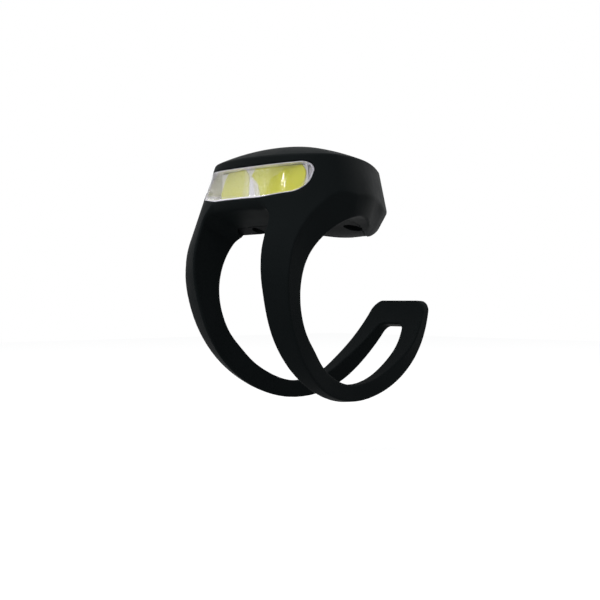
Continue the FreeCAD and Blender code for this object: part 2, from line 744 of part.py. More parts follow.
def make_lights(shapes):
    lens = window_prism(FIT, HEAD_FRONT + HEAD_WIDEST_Y)
    lens = lens.common(wall_solid(-LENS_RECESS))
    lens = lens.cut(prism(-SLEEVE_WALL, 0, REACH))
    pocket = window_prism(LENS_RIM + FIT).common(prism(-LENS_BACK_INSET, 0, REACH))
    shapes["lens"] = lens.cut(pocket)
    tray = window_prism(LENS_RIM + 2 * FIT, MODULE_DEPTH)
    tray = tray.common(prism(-LENS_BACK_INSET - FIT, 0, REACH))
    back = FIELD_THICKNESS + LIGHT_BOARD_THICKNESS
    bracket = []
    pins = []
    for side, label in ((-1, "left"), (1, "right")):
        start = FIELD_GAP
        length = FIELD_HALF_LENGTH - FIELD_GAP
        field = field_box(side, start + FIELD_MARGIN, length - 2 * FIELD_MARGIN, 0.0, FIELD_THICKNESS, 0.0)
        board = field_box(side, start, length, FIELD_THICKNESS, LIGHT_BOARD_THICKNESS, FIELD_MARGIN)
        shapes["light_field_" + label] = field
        shapes["light_board_" + label] = board
        channel = field_box(side, -FIELD_GAP, length + 2 * FIELD_GAP, -REACH, REACH + FIELD_THICKNESS, FIT)
        seat = field_box(side, 0.0, FIELD_HALF_LENGTH + FIT, FIELD_THICKNESS, back, FIELD_MARGIN + FIT)
        behind = field_box(side, -FIELD_HALF_LENGTH, 3 * FIELD_HALF_LENGTH, back, REACH, REACH / 2)
        half_space = box(*sorted((0, side * REACH)), -REACH, REACH, 0, REACH)
        tray = tray.cut(channel.fuse(seat).fuse(behind).common(half_space))
        slab = box(
            *sorted((0.0, side * FIELD_HALF_LENGTH)),
            FIELD_APEX_Y + back, FIELD_APEX_Y + back + BRACKET_THICKNESS,
            WINDOW_MID_Z - BRACKET_HEIGHT / 2, WINDOW_MID_Z + BRACKET_HEIGHT / 2,
        )
        bracket.append(tilted(slab, side).common(half_space))
    slope = math.tan(math.radians(FIELD_ANGLE))
    lean = math.cos(math.radians(FIELD_ANGLE))
    board_front = POST_FRONT_Y - POST_RADIUS
    pin_z = WINDOW_MID_Z + BRACKET_HEIGHT / 2 + 2 * PIN_RADIUS
    for x in PIN_PLACES:
        start_y = FIELD_APEX_Y + back / lean + (abs(x) + PIN_RADIUS) * slope + FIT
        pins.append(Part.makeCylinder(PIN_RADIUS, board_front - start_y, Vector(x, start_y, pin_z), Vector(0, 1, 0)))
    shapes["reflector"] = tray
    shapes["light_bracket"] = bracket[0].fuse(bracket[1])
    shapes["light_pins"] = Part.makeCompound(pins)


def make_leads(shapes):
    low = BOARD_BOTTOM - LEAD_DROP
    reach = BATTERY_REAR_Y + LEAD_LOOP
    leads = []
    for x in (-LEAD_X, LEAD_X):
        leads.append(lead([
            Vector(x, BATTERY_REAR_Y, low),
            Vector(x, reach, low),
            Vector(x, reach, BOARD_BOTTOM),
        ]))
    shapes["battery_leads"] = Part.makeCompound(leads)


def lead(points):
    """Round wire along two runs that meet at a right angle, with a bend between them."""
    first, corner, last = points
    way_in = (corner - first).normalize()
    way_out = (last - corner).normalize()
    enter = corner - way_in * LEAD_BEND
    leave = corner + way_out * LEAD_BEND
    centre = enter + way_out * LEAD_BEND
    middle = centre + (way_in - way_out).normalize() * LEAD_BEND
    path = Part.Wire([
        Part.makeLine(first, enter),
        Part.Arc(enter, middle, leave).toShape(),
        Part.makeLine(leave, last),
    ])
    profile = Part.Wire(Part.Circle(first, way_in, LEAD_RADIUS).toShape())
    return path.makePipeShell([profile], True, False)


def main():
    shapes = {}
    shapes["sleeve"] = make_sleeve()
    make_strap(shapes)
    make_button(shapes)
    make_base(shapes)
    make_case(shapes)
    make_board(shapes)
    make_battery(shapes)
    make_lights(shapes)
    make_leads(shapes)
    os.makedirs("parts", exist_ok=True)
    for name, shape in shapes.items():
        solids = shape.Solids
        print(name, "solids", len(solids), "valid", shape.isValid(), "volume", round(shape.Volume, 2))
        shape.exportStep("parts/%s.step" % name)


main()
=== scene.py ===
import json
import math

import bpy
import numpy as np
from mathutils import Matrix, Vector


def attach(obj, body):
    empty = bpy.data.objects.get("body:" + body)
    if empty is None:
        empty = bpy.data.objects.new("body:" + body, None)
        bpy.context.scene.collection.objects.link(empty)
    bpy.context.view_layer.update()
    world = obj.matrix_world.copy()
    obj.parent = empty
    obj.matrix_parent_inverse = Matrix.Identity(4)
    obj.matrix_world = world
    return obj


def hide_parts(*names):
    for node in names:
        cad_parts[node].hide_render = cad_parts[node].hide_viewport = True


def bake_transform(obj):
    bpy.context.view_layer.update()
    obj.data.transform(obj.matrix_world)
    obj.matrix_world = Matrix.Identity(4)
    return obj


# Silicone handlebar headlight. Lengths are in millimetres until a mesh is made, in the frame of the
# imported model: the origin is on the seat axis, +X along the bar, the light shines along -Y, +Z is up.

MM = 0.001
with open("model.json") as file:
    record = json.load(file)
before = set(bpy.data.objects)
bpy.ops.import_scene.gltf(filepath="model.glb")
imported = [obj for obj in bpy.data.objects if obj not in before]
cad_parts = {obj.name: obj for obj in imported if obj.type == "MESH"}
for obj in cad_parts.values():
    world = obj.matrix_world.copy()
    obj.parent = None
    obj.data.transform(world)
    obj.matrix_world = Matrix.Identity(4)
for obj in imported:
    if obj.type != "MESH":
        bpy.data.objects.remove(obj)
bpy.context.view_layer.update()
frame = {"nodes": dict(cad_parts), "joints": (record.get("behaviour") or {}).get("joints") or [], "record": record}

# Seat and strap
SEAT_RADIUS = 14.75
SEAT_END_Y = 2.56
SEAT_END_ANGLE = 200.0
STRAP_END_ANGLE = 356.9
SLOT_END_ANGLE = 345.3
SLOT_END_CORNER = 1.3
TAB_CORNER = 2.4
SLOT_CORNER = 2.6
SLOT_FRONT = (-18.5, 15.9)
SLOT_REAR = (-8.9, 11.75)

# Head
HEAD_FRONT = 16.9
HEAD_HALF_WIDTH = 16.8
HEAD_WIDEST_Y = -7.7
HEAD_NOSE = 20.2
NOSE_RADIUS = 3.4
NOSE_SLANT = math.radians(52.0)
FRONT_HANDLE = 10.0
CORNER_HANDLE = 4.5
SIDE_HANDLE = 9.0
TAIL_HANDLE = 8.5
RIM_Z = 26.1
EDGE_Z = 18.6
EDGE_DROP = 1.3
DRAFT = math.tan(math.radians(18.3))
REAR_DRAFT = math.tan(math.radians(11.3))
BAND = math.tan(math.radians(21.8))
REAR_BAND = math.tan(math.radians(28.0))
DOME_RISE = 3.1
DOME_CENTRE_Y = -4.6
POD_BOTTOM = 16.4

# Stretches over which one surface of the silicone runs over into the next: start, then length
DRAFT_CHANGE_Y = (-2.0, 14.0)
BAND_CHANGE_Y = (6.0, 10.0)
TAIL_CHANGE_Y = (6.0, 6.0)
SIDE_CHANGE_Y = (-9.0, 8.0)
FACE_CHANGE_Z = (5.0, 7.0)
CHIN_CHANGE = (0.5, 3.0)

# Where the strap meets the head, where the chin and the cuts in the underside begin, the seam of
# the button, where angles run on past 360, and factors that keep sloped distances true
STRAP_TOP_Z = 3.0
CHIN_LOW_Z = 8.0
CUTS_LOW_Z = 5.0
BUTTON_SEAM_DROP = 0.05
WRAP_ANGLE = 15.0
DOME_STEEPNESS = 0.93
UNDERSIDE_STEEPNESS = 0.98

# Window and lens
WINDOW_HALF_WIDTH = 15.42
WINDOW_LOW_Z = 17.9
WINDOW_END_LIFT = 0.8
WINDOW_LIFT_CHANGE = (5.5, 8.0)
WINDOW_TOP_Z = 24.3
WINDOW_TOP_BOW = 0.0025
WINDOW_TOP_CORNER = 2.5
WINDOW_LOW_CORNER = 3.0
WINDOW_BACK_Y = -5.9
LENS_RECESS = 0.12
LENS_GAP = 0.03
LENS_WALL = 0.8
LENS_END_WALL = 1.1
LENS_WALL_CHANGE = (9.0, 5.0)
LENS_BACK_Y = -7.6

# Light module: two yellow fields on sloped planes in a thin pale bowl
FIELD_APEX_Y = -15.5
FIELD_SLOPE = math.tan(math.radians(16.0))
FIELD_END = 12.7
END_SLOPE = 1.1
FIELD_TOP_Z = 24.6
FIELD_LOW_Z = 18.05
FIELD_THICKNESS = 0.3
FIELD_TOP_CORNER = 2.2
FIELD_SUNK = 0.02
GAP_CENTRE = 0.7
GAP_WAIST_Z = 22.8
GAP_BEND_DROP = 1.8
GAP_STEEPNESS = 0.85
END_LOW_Z = 19.6
# Edges of the right field (1) and of the left one (-1): its distance from the middle of the gap at
# the waist, what that grows by per mm above and below the waist, how much less it grows below the
# bend, how far its end stands out and leans per mm of height, and its outer low corner's radius
FIELD_EDGES = {
    1: dict(waist=0.1, up=0.75, down=0.8, bend=0.6, extra=0.0, lean=0.0, low_corner=4.8),
    -1: dict(waist=0.39, up=0.9, down=0.05, bend=0.0, extra=0.6, lean=0.75, low_corner=1.2),
}
BOWL_LIP = 0.22
BOWL_FLOOR = 0.28
BOWL_GAP = 0.05
BOWL_SILL_Z = 18.3
CHIP_PLACES = [
    (2.9, 22.8), (4.3, 21.1), (5.9, 23.5), (6.1, 22.4), (9.1, 23.5), (9.3, 22.6), (7.6, 20.9),
]
CHIP_RADIUS = 0.32
CHIP_HEIGHT = 0.2

# Base plate in the underside, with its screw wells
PLATE_INSET = 2.4
PLATE_HALF_WIDTH = 9.4
PLATE_FRONT_Y = -12.0
PLATE_CORNER = 3.0
PLATE_SIDE_CORNER = 1.0
PLATE_RECESS = 0.1
PLATE_FIT = 0.05
WELLS = [(3.2, -10.2, 1.25), (5.9, 7.6, 1.9)]
DIMPLE_Y = 4.5
DIMPLE_RADIUS = 1.6
DIMPLE_ROOF_Z = 15.1

# Edge radii
RIM_ROUND = 0.25
EDGE_ROUND = 0.3
INNER_ROUND = 0.4
TAIL_ROUND = 1.1
SLOT_ROUND = 0.5
CHIN_ROUND = 2.0
WINDOW_ROUND = 0.25
PLATE_ROUND = 0.15
PLATE_TOP_ROUND = 0.1
WELL_ROUND = 0.12
DIMPLE_ROUND = 0.3
LENS_EDGE_ROUND = 0.2
LENS_BACK_ROUND = 0.3
LENS_INNER_ROUND = 0.15
BOWL_FRONT_ROUND = 0.08
BOWL_ROUND = 0.1
BOWL_CORNER_ROUND = 0.3
GAP_ROUND = 0.2
FIELD_ROUND = 0.12
FIELD_BACK_ROUND = 0.05

# Hinges of the strap, and the cuts between its pieces
JOINT_ANGLES = [200.0, 235.0, 270.0, 306.0]
CUT_ANGLES = [217.5, 252.5, 288.0]

# Meshing: grid steps, the boxes that are searched for a surface, and how it is smoothed
GRID_STEP = 0.3
FINE_STEP = 0.15
EGG_STEP = 0.15
EGG_GRID = (170, 400)
EGG_GRID_FRONT_Y = -28.0
OUTLINE_POINTS = (90, 120, 40)
REACH_EVERY = 12
SILICONE_BOX = ((-20.4, -25.0, -23.6), (20.4, 31.4, 31.5))
WINDOW_BOX = ((-15.9, -20.0, 17.4), (15.9, -7.0, 25.0))
LEFT_FIELD_BOX = ((-13.2, -16.6, 17.7), (0.9, -11.4, 24.9))
RIGHT_FIELD_BOX = ((0.4, -16.6, 17.7), (13.2, -11.4, 24.9))
PLATE_BOX = ((-9.8, -12.4, 11.6), (9.8, 15.2, 16.8))
SMOOTH_ROUNDS = 4
PULLS_PER_ROUND = 3
LONGEST_PULL = 0.5
LEAST_SQUARED_SLOPE = 0.2
GRADIENT_REACH = 0.02
NEVER_NOUGHT = 1e-9

# Camera at the photo's viewing angle
CAMERA_PLACE = (160.6, -151.6, -1.43)
CAMERA_AIM = (0.0, -1.837, -1.43)
FOCAL_PIXELS = 1076.0
PHOTO_PIXELS = 600.0
SENSOR_WIDTH = 36.0

# Light and floor. Lamps: name, place, aim, width, height, power
LAMPS = [
    ("top_light", (-60, -100, 420), (0, 0, 10), 460, 400, 2.1),
    ("front_light", (140, -520, 160), (0, 0, 5), 420, 420, 1.1),
    ("side_light", (520, -60, 160), (0, 0, 0), 420, 420, 0.3),
    ("back_light", (120, 520, 260), (0, 0, 5), 420, 420, 0.45),
    ("streak_light", (-10, -249, 208.5), (11.5, -16.5, 20.0), 7, 8.5, 0.03),
]
WORLD_COLOUR = (0.95, 0.97, 1.0)
WORLD_STRENGTH = 0.36
FLOOR_Z = -34.0
FLOOR_HALF_WIDTH = 600.0
FLOOR_GREY = 0.16
FLOOR_GLOW = 0.9
FLOOR_DULL_GREY = 0.5

# Colours and finishes
SILICONE_COLOURS = ((0.0044, 0.0056, 0.0059), (0.0070, 0.0087, 0.0092))
SILICONE_ROUGHNESS = (0.42, 0.56)
SILICONE_SPECULAR = 0.0072
YELLOW_COLOURS = ((0.50, 0.50, 0.015), (0.57, 0.56, 0.04))
YELLOW_ROUGHNESS = 0.32
STREAK_STRETCH = (1.0, 1.0, 0.16)
STREAK_RANGE = (0.48, 0.72)
BOWL_COLOURS = ((0.52, 0.50, 0.55), (0.74, 0.73, 0.78))
BOWL_ROUGHNESS = 0.3
LENS_COLOUR = (0.98, 0.98, 0.99)
LENS_ROUGHNESS = 0.02
LENS_IOR = 1.46
LENS_ALPHA = 0.26
GRAIN_SCALE = 2500.0
GRAIN_SHADES = (0.88, 1.08)
# Slots of the carried-over nodes: colour, roughness, metallic share, and specular level if not 0.4
SLOT_LOOKS = {
    "plunger_plastic": ((0.8, 0.8, 0.78), 0.45, 0.0),
    "base_plastic": ((0.0045, 0.0055, 0.006), 0.5, 0.0, 0.006),
    "seal_rubber": ((0.03, 0.03, 0.032), 0.6, 0.0),
    "screw_steel": ((0.03, 0.03, 0.032), 0.4, 1.0),
    "case_plastic": ((0.03, 0.032, 0.035), 0.4, 0.0),
    "board": ((0.02, 0.12, 0.05), 0.35, 0.0),
    "switch_metal": ((0.6, 0.6, 0.6), 0.3, 1.0),
    "chip_plastic": ((0.02, 0.02, 0.02), 0.5, 0.0),
    "foam": ((0.12, 0.12, 0.12), 0.9, 0.0),
    "battery_foil": ((0.65, 0.66, 0.68), 0.3, 1.0),
    "light_board": ((0.8, 0.8, 0.82), 0.4, 0.0),
    "bracket_aluminium": ((0.7, 0.7, 0.72), 0.35, 1.0),
    "pin_brass": ((0.78, 0.6, 0.3), 0.3, 1.0),
    "lead_red": ((0.4, 0.03, 0.03), 0.4, 0.0),
}


class Curve:
    """Smooth curve through a few read points, level beyond its ends."""

    def __init__(self, *points):
        self.x = np.array(points[::2], float)
        self.y = np.array(points[1::2], float)
        gap = np.diff(self.x)
        rise = np.diff(self.y) / gap
        count = len(self.x)
        system = np.eye(count)
        right = np.zeros(count)
        for i in range(1, count - 1):
            system[i, i - 1:i + 2] = gap[i - 1], 2 * (gap[i - 1] + gap[i]), gap[i]
            right[i] = 6 * (rise[i] - rise[i - 1])
        self.bend = np.linalg.solve(system, right)

    def __call__(self, x):
        x = np.clip(x, self.x[0], self.x[-1])
        i = np.clip(np.searchsorted(self.x, x) - 1, 0, len(self.x) - 2)
        gap = self.x[i + 1] - self.x[i]
        t = x - self.x[i]
        first = self.bend[i]
        second = self.bend[i + 1]
        slope = (self.y[i + 1] - self.y[i]) / gap - gap * (2 * first + second) / 6
        return self.y[i] + t * (slope + t * (first / 2 + t * (second - first) / (6 * gap)))


# Strap: angle round the seat axis, then the value there
OUTER_RADIUS = Curve(
    104, 19.0, 117, 20.35, 129, 21.05, 141, 21.0, 154, 20.3, 170, 19.55, 185, 18.85, 200, 18.5,
    215, 18.5, 230, 18.85, 245, 19.5, 260, 20.55, 280, 22.2, 300, 24.0, 320, 26.25,
    338, 28.35, 356, 30.25,
)
CROWN = Curve(
    104, 1.5, 117, 2.6, 129, 3.4, 141, 4.0, 152, 4.15, 164, 3.95, 180, 2.95, 200, 2.5,
    220, 2.3, 240, 1.9, 260, 1.1, 275, 0.65, 300, 0.4, 330, 0.3, 356, 0.2,
)
HALF_WIDTH = Curve(
    104, 19.3, 117, 18.85, 129, 17.95, 141, 16.8, 153, 16.05, 165, 15.75, 180, 15.3, 200, 14.55,
    220, 13.6, 240, 12.3, 260, 10.85, 280, 9.9, 300, 9.4, 320, 9.1, 338, 8.5, 356, 7.4,
)
INNER_RADIUS = Curve(
    200, SEAT_RADIUS, 215, SEAT_RADIUS, 230, 14.75, 245, 15.55, 260, 16.7, 275, 18.25, 290, 19.7,
    305, 21.05, 320, 22.4, 335, 24.65, 356, 28.25,
)
INNER_HALF_WIDTH = Curve(
    104, 17.0, 117, 16.7, 129, 16.1, 141, 15.3, 152, 14.7, 164, 14.4, 180, 14.2, 200, 13.85,
    220, 13.2, 240, 11.95, 260, 10.5, 280, 9.55, 300, 9.3, 320, 9.6, 338, 9.3, 356, 7.4,
)
SLOT_HALF_WIDTH = Curve(
    150, 9.95, 180, 9.8, 200, 9.45, 220, 9.2, 240, 8.9, 260, 8.2, 280, 7.25, 300, 6.25,
    320, 5.8, 335, 4.75, 346, 3.2,
)

# Underside of the head behind the seat: y, then height
UNDERSIDE = Curve(
    SEAT_END_Y, 14.526, 4, 14.23, 6, 13.75, 9, 12.9, 12, 12.25, 15, 12.05, 18, 12.45,
    21, 13.5, 24, 14.8,
)


def ease(t):
    """Smooth step from nought to one."""
    t = np.clip(t, 0.0, 1.0)
    return t * t * (3 - 2 * t)


def along(value, change):
    """Smooth share from nought to one over a stretch given by its start and length."""
    start, length = change
    return ease((value - start) / length)


def bezier(poles, count):
    """Points of a cubic curve with four poles, without its last point."""
    t = np.linspace(0, 1, count, endpoint=False)[:, None]
    a, b, c, d = [np.array(p, float) for p in poles]
    return (1 - t) ** 3 * a + 3 * t * (1 - t) ** 2 * b + 3 * t * t * (1 - t) * c + t ** 3 * d


def egg_half():
    """Points of the head's outline from the middle of its front to the tip of its nose."""
    centre_y = HEAD_NOSE - NOSE_RADIUS
    sine = math.sin(NOSE_SLANT)
    cosine = math.cos(NOSE_SLANT)
    front_count, flank_count, nose_count = OUTLINE_POINTS
    touch = (NOSE_RADIUS * sine, centre_y + NOSE_RADIUS * cosine)
    front = bezier([
        (0, -HEAD_FRONT), (FRONT_HANDLE, -HEAD_FRONT),
        (HEAD_HALF_WIDTH, HEAD_WIDEST_Y - CORNER_HANDLE), (HEAD_HALF_WIDTH, HEAD_WIDEST_Y),
    ], front_count)
    flank = bezier([
        (HEAD_HALF_WIDTH, HEAD_WIDEST_Y), (HEAD_HALF_WIDTH, HEAD_WIDEST_Y + SIDE_HANDLE),
        (touch[0] + TAIL_HANDLE * cosine, touch[1] - TAIL_HANDLE * sine), touch,
    ], flank_count)
    turn = np.linspace(NOSE_SLANT, 0, nose_count)
    nose = np.stack([NOSE_RADIUS * np.sin(turn), centre_y + NOSE_RADIUS * np.cos(turn)], axis=1)
    return np.concatenate([front, flank, nose])


class Egg:
    """Distance to the head's outline, kept on a grid and read back smoothly."""

    def __init__(self):
        line = egg_half()
        self.x0 = -3 * EGG_STEP
        self.y0 = EGG_GRID_FRONT_Y
        xs = self.x0 + EGG_STEP * np.arange(EGG_GRID[0])
        ys = self.y0 + EGG_STEP * np.arange(EGG_GRID[1])
        start = line[:-1]
        edge = line[1:] - start
        length = (edge ** 2).sum(axis=1)
        self.grid = np.zeros((len(xs), len(ys)))
        for i, x in enumerate(np.abs(xs)):
            dx = x - start[:, 0][None]
            dy = ys[:, None] - start[:, 1][None]
            t = np.clip((dx * edge[:, 0] + dy * edge[:, 1]) / length, 0, 1)
            off_x = dx - t * edge[:, 0]
            off_y = dy - t * edge[:, 1]
            gap = off_x ** 2 + off_y ** 2
            near = gap.argmin(axis=1)
            rows = np.arange(len(ys))
            side = off_x[rows, near] * edge[near, 1] - off_y[rows, near] * edge[near, 0]
            self.grid[i] = np.sqrt(gap[rows, near]) * np.sign(side)
        angle = np.arctan2(line[:, 0], -(line[:, 1] - DOME_CENTRE_Y))
        reach = np.hypot(line[:, 0], line[:, 1] - DOME_CENTRE_Y)
        keep = np.r_[np.arange(0, len(line) - REACH_EVERY, REACH_EVERY), len(line) - 1]
        self.reach = Curve(*np.stack([
            np.r_[-angle[keep][3:0:-1], angle[keep], 2 * math.pi - angle[keep][-2:-5:-1]],
            np.r_[reach[keep][3:0:-1], reach[keep], reach[keep][-2:-5:-1]],
        ], axis=1).ravel())

    def distance(self, x, y):
        """Cubic reading of the grid."""
        u = np.clip((np.abs(x) - self.x0) / EGG_STEP, 1, self.grid.shape[0] - 3)
        v = np.clip((y - self.y0) / EGG_STEP, 1, self.grid.shape[1] - 3)
        i = u.astype(int)
        j = v.astype(int)
        i, j, u, v = np.broadcast_arrays(i, j, u - i, v - j)
        total = 0.0
        for a, p in zip(range(-1, 3), cubic_weights(u)):
            for b, q in zip(range(-1, 3), cubic_weights(v)):
                total = total + p * q * self.grid[i + a, j + b]
        return total

    def dome(self, x, y):
        """Height of the dome over the rim plane, as a share of its rise."""
        away = np.hypot(x, y - DOME_CENTRE_Y)
        angle = np.arctan2(np.abs(x), -(y - DOME_CENTRE_Y))
        return 1 - (away / self.reach(angle)) ** 2


def cubic_weights(t):
    """Weights of the four grid values round a point, for a smooth reading."""
    return [
        -t * (1 - t) ** 2 / 2,
        (2 - 5 * t * t + 3 * t ** 3) / 2,
        t * (1 + 4 * t - 3 * t * t) / 2,
        t * t * (t - 1) / 2,
    ]


def meet(a, b, radius):
    """Common part of two solids given by distances, with a round edge between them."""
    u = np.maximum(a + radius, 0)
    v = np.maximum(b + radius, 0)
    return np.minimum(-radius, np.maximum(a, b)) + np.sqrt(u * u + v * v)


def window_shape(x, z):
    """Distance to the window's outline, seen from the front."""
    side_x = np.abs(x)
    low = WINDOW_LOW_Z + WINDOW_END_LIFT * along(side_x, WINDOW_LIFT_CHANGE)
    top = WINDOW_TOP_Z + WINDOW_TOP_BOW * x * x
    shape = meet(side_x - WINDOW_HALF_WIDTH, z - top, WINDOW_TOP_CORNER)
    return meet(shape, low - z, WINDOW_LOW_CORNER)


def angle_of(y, z):
    """Angle round the seat axis in degrees, which runs on past 360 at the strap's end."""
    turn = np.degrees(np.arctan2(z, y)) % 360
    return np.where(turn < WRAP_ANGLE, turn + 360, turn)


def rear_draft(y):
    """Draft of the head's wall, which is steeper towards the nose."""
    return DRAFT + (REAR_DRAFT - DRAFT) * along(y, DRAFT_CHANGE_Y)


def head_wall(x, y, z):
    """Distance to the head's drafted wall, which runs on past the rim and the band."""
    return (egg.distance(x, y) - (RIM_Z - z) * rear_draft(y)) * math.cos(math.atan(DRAFT))


def inner_radius(turn):
    """Radius of the strap's inner face, which is the seat's own in front."""
    return np.where(turn < SEAT_END_ANGLE, SEAT_RADIUS, INNER_RADIUS(turn))


def seat_face(y, z):
    """Distance into the seat from its face, which runs on under the tail."""
    turn = angle_of(y, z)
    under = (UNDERSIDE(y) - z) * UNDERSIDE_STEEPNESS
    return np.where((y > SEAT_END_Y) & (z > 0), under, inner_radius(turn) - np.hypot(y, z))


def slot_floor(y):
    """Height of the chin over the slot between the legs."""
    slope = (SLOT_REAR[1] - SLOT_FRONT[1]) / (SLOT_REAR[0] - SLOT_FRONT[0])
    return SLOT_FRONT[1] + slope * (y - SLOT_FRONT[0])


def plate_outline(x, y):
    """Distance to the base plate's outline, seen from below."""
    side_x = np.abs(x)
    shape = meet(egg.distance(x, y) + PLATE_INSET, side_x - PLATE_HALF_WIDTH, PLATE_SIDE_CORNER)
    return meet(shape, PLATE_FRONT_Y - y, PLATE_CORNER)


def silicone(x, y, z):
    """Distance to the surface of the silicone, negative inside it."""
    side_x = np.abs(x)
    r = np.hypot(y, z)
    turn = angle_of(y, z)
    outline = egg.distance(x, y)
    outer = OUTER_RADIUS(turn)
    half = HALF_WIDTH(turn)
    inner = inner_radius(turn)

    draft = rear_draft(y)
    wall = head_wall(x, y, z)
    leg_face = r - outer - CROWN(turn) * (1 - (side_x / half) ** 2)
    share = along(z, FACE_CHANGE_Z)
    face = share * wall + (1 - share) * leg_face
    dome = (z - RIM_Z - DOME_RISE * egg.dome(x, y)) * DOME_STEEPNESS

    rear = along(y, BAND_CHANGE_Y)
    edge_z = EDGE_Z - EDGE_DROP * rear
    slant = BAND + (REAR_BAND - BAND) * rear
    band = (outline - (RIM_Z - edge_z) * draft + (edge_z - z) * slant) * math.cos(math.atan(BAND))
    lean = (half - INNER_HALF_WIDTH(turn)) / (outer - inner)
    leg_side = (side_x - half - lean * (r - outer)) / np.sqrt(1 + lean ** 2)
    share = along(y, SIDE_CHANGE_Y) * (z > STRAP_TOP_Z)
    side = share * band + (1 - share) * leg_side

    in_slot = SLOT_HALF_WIDTH(turn) - side_x
    slot = meet(-in_slot, z - slot_floor(y), SLOT_CORNER)
    slot = meet(slot, np.radians(turn - SLOT_END_ANGLE) * r, SLOT_END_CORNER)
    end = np.radians(turn - STRAP_END_ANGLE) * r

    window = np.maximum(window_shape(x, z), y - WINDOW_BACK_Y)
    plate = plate_outline(x, y) - PLATE_FIT
    plate = np.maximum(plate, np.maximum(z - POD_BOTTOM - PLATE_FIT, CUTS_LOW_Z - z))
    chin = SLOT_ROUND + (CHIN_ROUND - SLOT_ROUND) * along(in_slot, CHIN_CHANGE) * (z > CHIN_LOW_Z)

    body = meet(face, dome, RIM_ROUND)
    body = meet(body, meet(side, end, TAB_CORNER), EDGE_ROUND)
    inner_round = INNER_ROUND + (TAIL_ROUND - INNER_ROUND) * along(y, TAIL_CHANGE_Y) * (z > 0)
    body = meet(body, seat_face(y, z), inner_round)
    body = meet(body, -slot, chin)
    body = meet(body, -window, WINDOW_ROUND)
    body = meet(body, -plate, PLATE_ROUND)
    for place_x, place_y, radius in WELLS:
        well = np.maximum(np.hypot(side_x - place_x, y - place_y) - radius, CUTS_LOW_Z - z)
        body = meet(body, -np.maximum(well, z - POD_BOTTOM), WELL_ROUND)
    return body


def lens_wall(x):
    """Thickness of the lens, which grows towards its ends."""
    return LENS_WALL + (LENS_END_WALL - LENS_WALL) * along(np.abs(x), LENS_WALL_CHANGE)


def lens(x, y, z):
    """Clear shell that lies in the window, a little behind the head's wall."""
    outer = head_wall(x, y, z) + LENS_RECESS
    body = meet(outer, window_shape(x, z) + BOWL_LIP + LENS_GAP, LENS_EDGE_ROUND)
    body = meet(body, BOWL_SILL_Z + LENS_GAP - z, LENS_EDGE_ROUND)
    body = meet(body, y - LENS_BACK_Y, LENS_BACK_ROUND)
    return meet(body, -(outer + lens_wall(x)), LENS_INNER_ROUND)


def field_plane(x):
    """How far back the floor behind the fields lies, bent back past their ends."""
    side_x = np.abs(x)
    past = np.maximum(side_x - FIELD_END, 0)
    return FIELD_APEX_Y + side_x * FIELD_SLOPE + END_SLOPE * past


def bowl(x, y, z):
    """Pale reflector: a thin floor behind the fields and a lip that lines the window."""
    front = head_wall(x, y, z) + LENS_RECESS
    shape = window_shape(x, z)
    floor = field_plane(x)
    lean = math.cos(math.atan(FIELD_SLOPE))
    body = meet(shape + BOWL_GAP, front, BOWL_FRONT_ROUND)
    body = meet(body, (y - floor - BOWL_FLOOR) * lean, BOWL_ROUND)
    hollow = meet(shape + BOWL_LIP, (y - floor) * lean, BOWL_CORNER_ROUND)
    hollow = meet(hollow, BOWL_SILL_Z - z, BOWL_ROUND)
    return meet(body, -hollow, BOWL_ROUND)


def yellow_field(side):
    """One yellow field: a thin raised plate with faint bumps over its chips."""
    edges = FIELD_EDGES[side]

    def field(x, y, z):
        away = side * x
        up = np.maximum(z - GAP_WAIST_Z, 0)
        down = np.maximum(GAP_WAIST_Z - z, 0)
        gap = edges["waist"] + edges["up"] * up + edges["down"] * down
        gap = gap - edges["bend"] * np.maximum(down - GAP_BEND_DROP, 0)
        end = FIELD_END + edges["extra"] - edges["lean"] * (z - END_LOW_Z)
        shape = meet(away - end, z - FIELD_TOP_Z, FIELD_TOP_CORNER)
        shape = meet(shape, FIELD_LOW_Z - z, edges["low_corner"])
        shape = meet(shape, (gap - side * (x - GAP_CENTRE)) * GAP_STEEPNESS, GAP_ROUND)
        chips = 0.0
        for place_x, place_z in CHIP_PLACES:
            reach = ((away - place_x) ** 2 + (z - place_z) ** 2) / CHIP_RADIUS ** 2
            chips = chips + CHIP_HEIGHT * np.exp(-reach)
        floor = field_plane(x)
        plate = meet(shape, floor - FIELD_THICKNESS - chips - y, FIELD_ROUND)
        return meet(plate, y - floor + FIELD_SUNK, FIELD_BACK_ROUND)
    return field


def base_plate(x, y, z):
    """Plate in the underside, a little behind the silicone's face, with its wells."""
    under = np.maximum(seat_face(y, z), slot_floor(y) - z) + PLATE_RECESS
    body = meet(plate_outline(x, y), under, PLATE_ROUND)
    body = meet(body, z - POD_BOTTOM, PLATE_TOP_ROUND)
    for place_x, place_y, radius in WELLS:
        well = np.hypot(np.abs(x) - place_x, y - place_y) - radius
        body = meet(body, -well, WELL_ROUND)
    dimple = meet(np.hypot(x, y - DIMPLE_Y) - DIMPLE_RADIUS, z - DIMPLE_ROOF_Z, DIMPLE_ROUND)
    return meet(body, -dimple, WELL_ROUND)


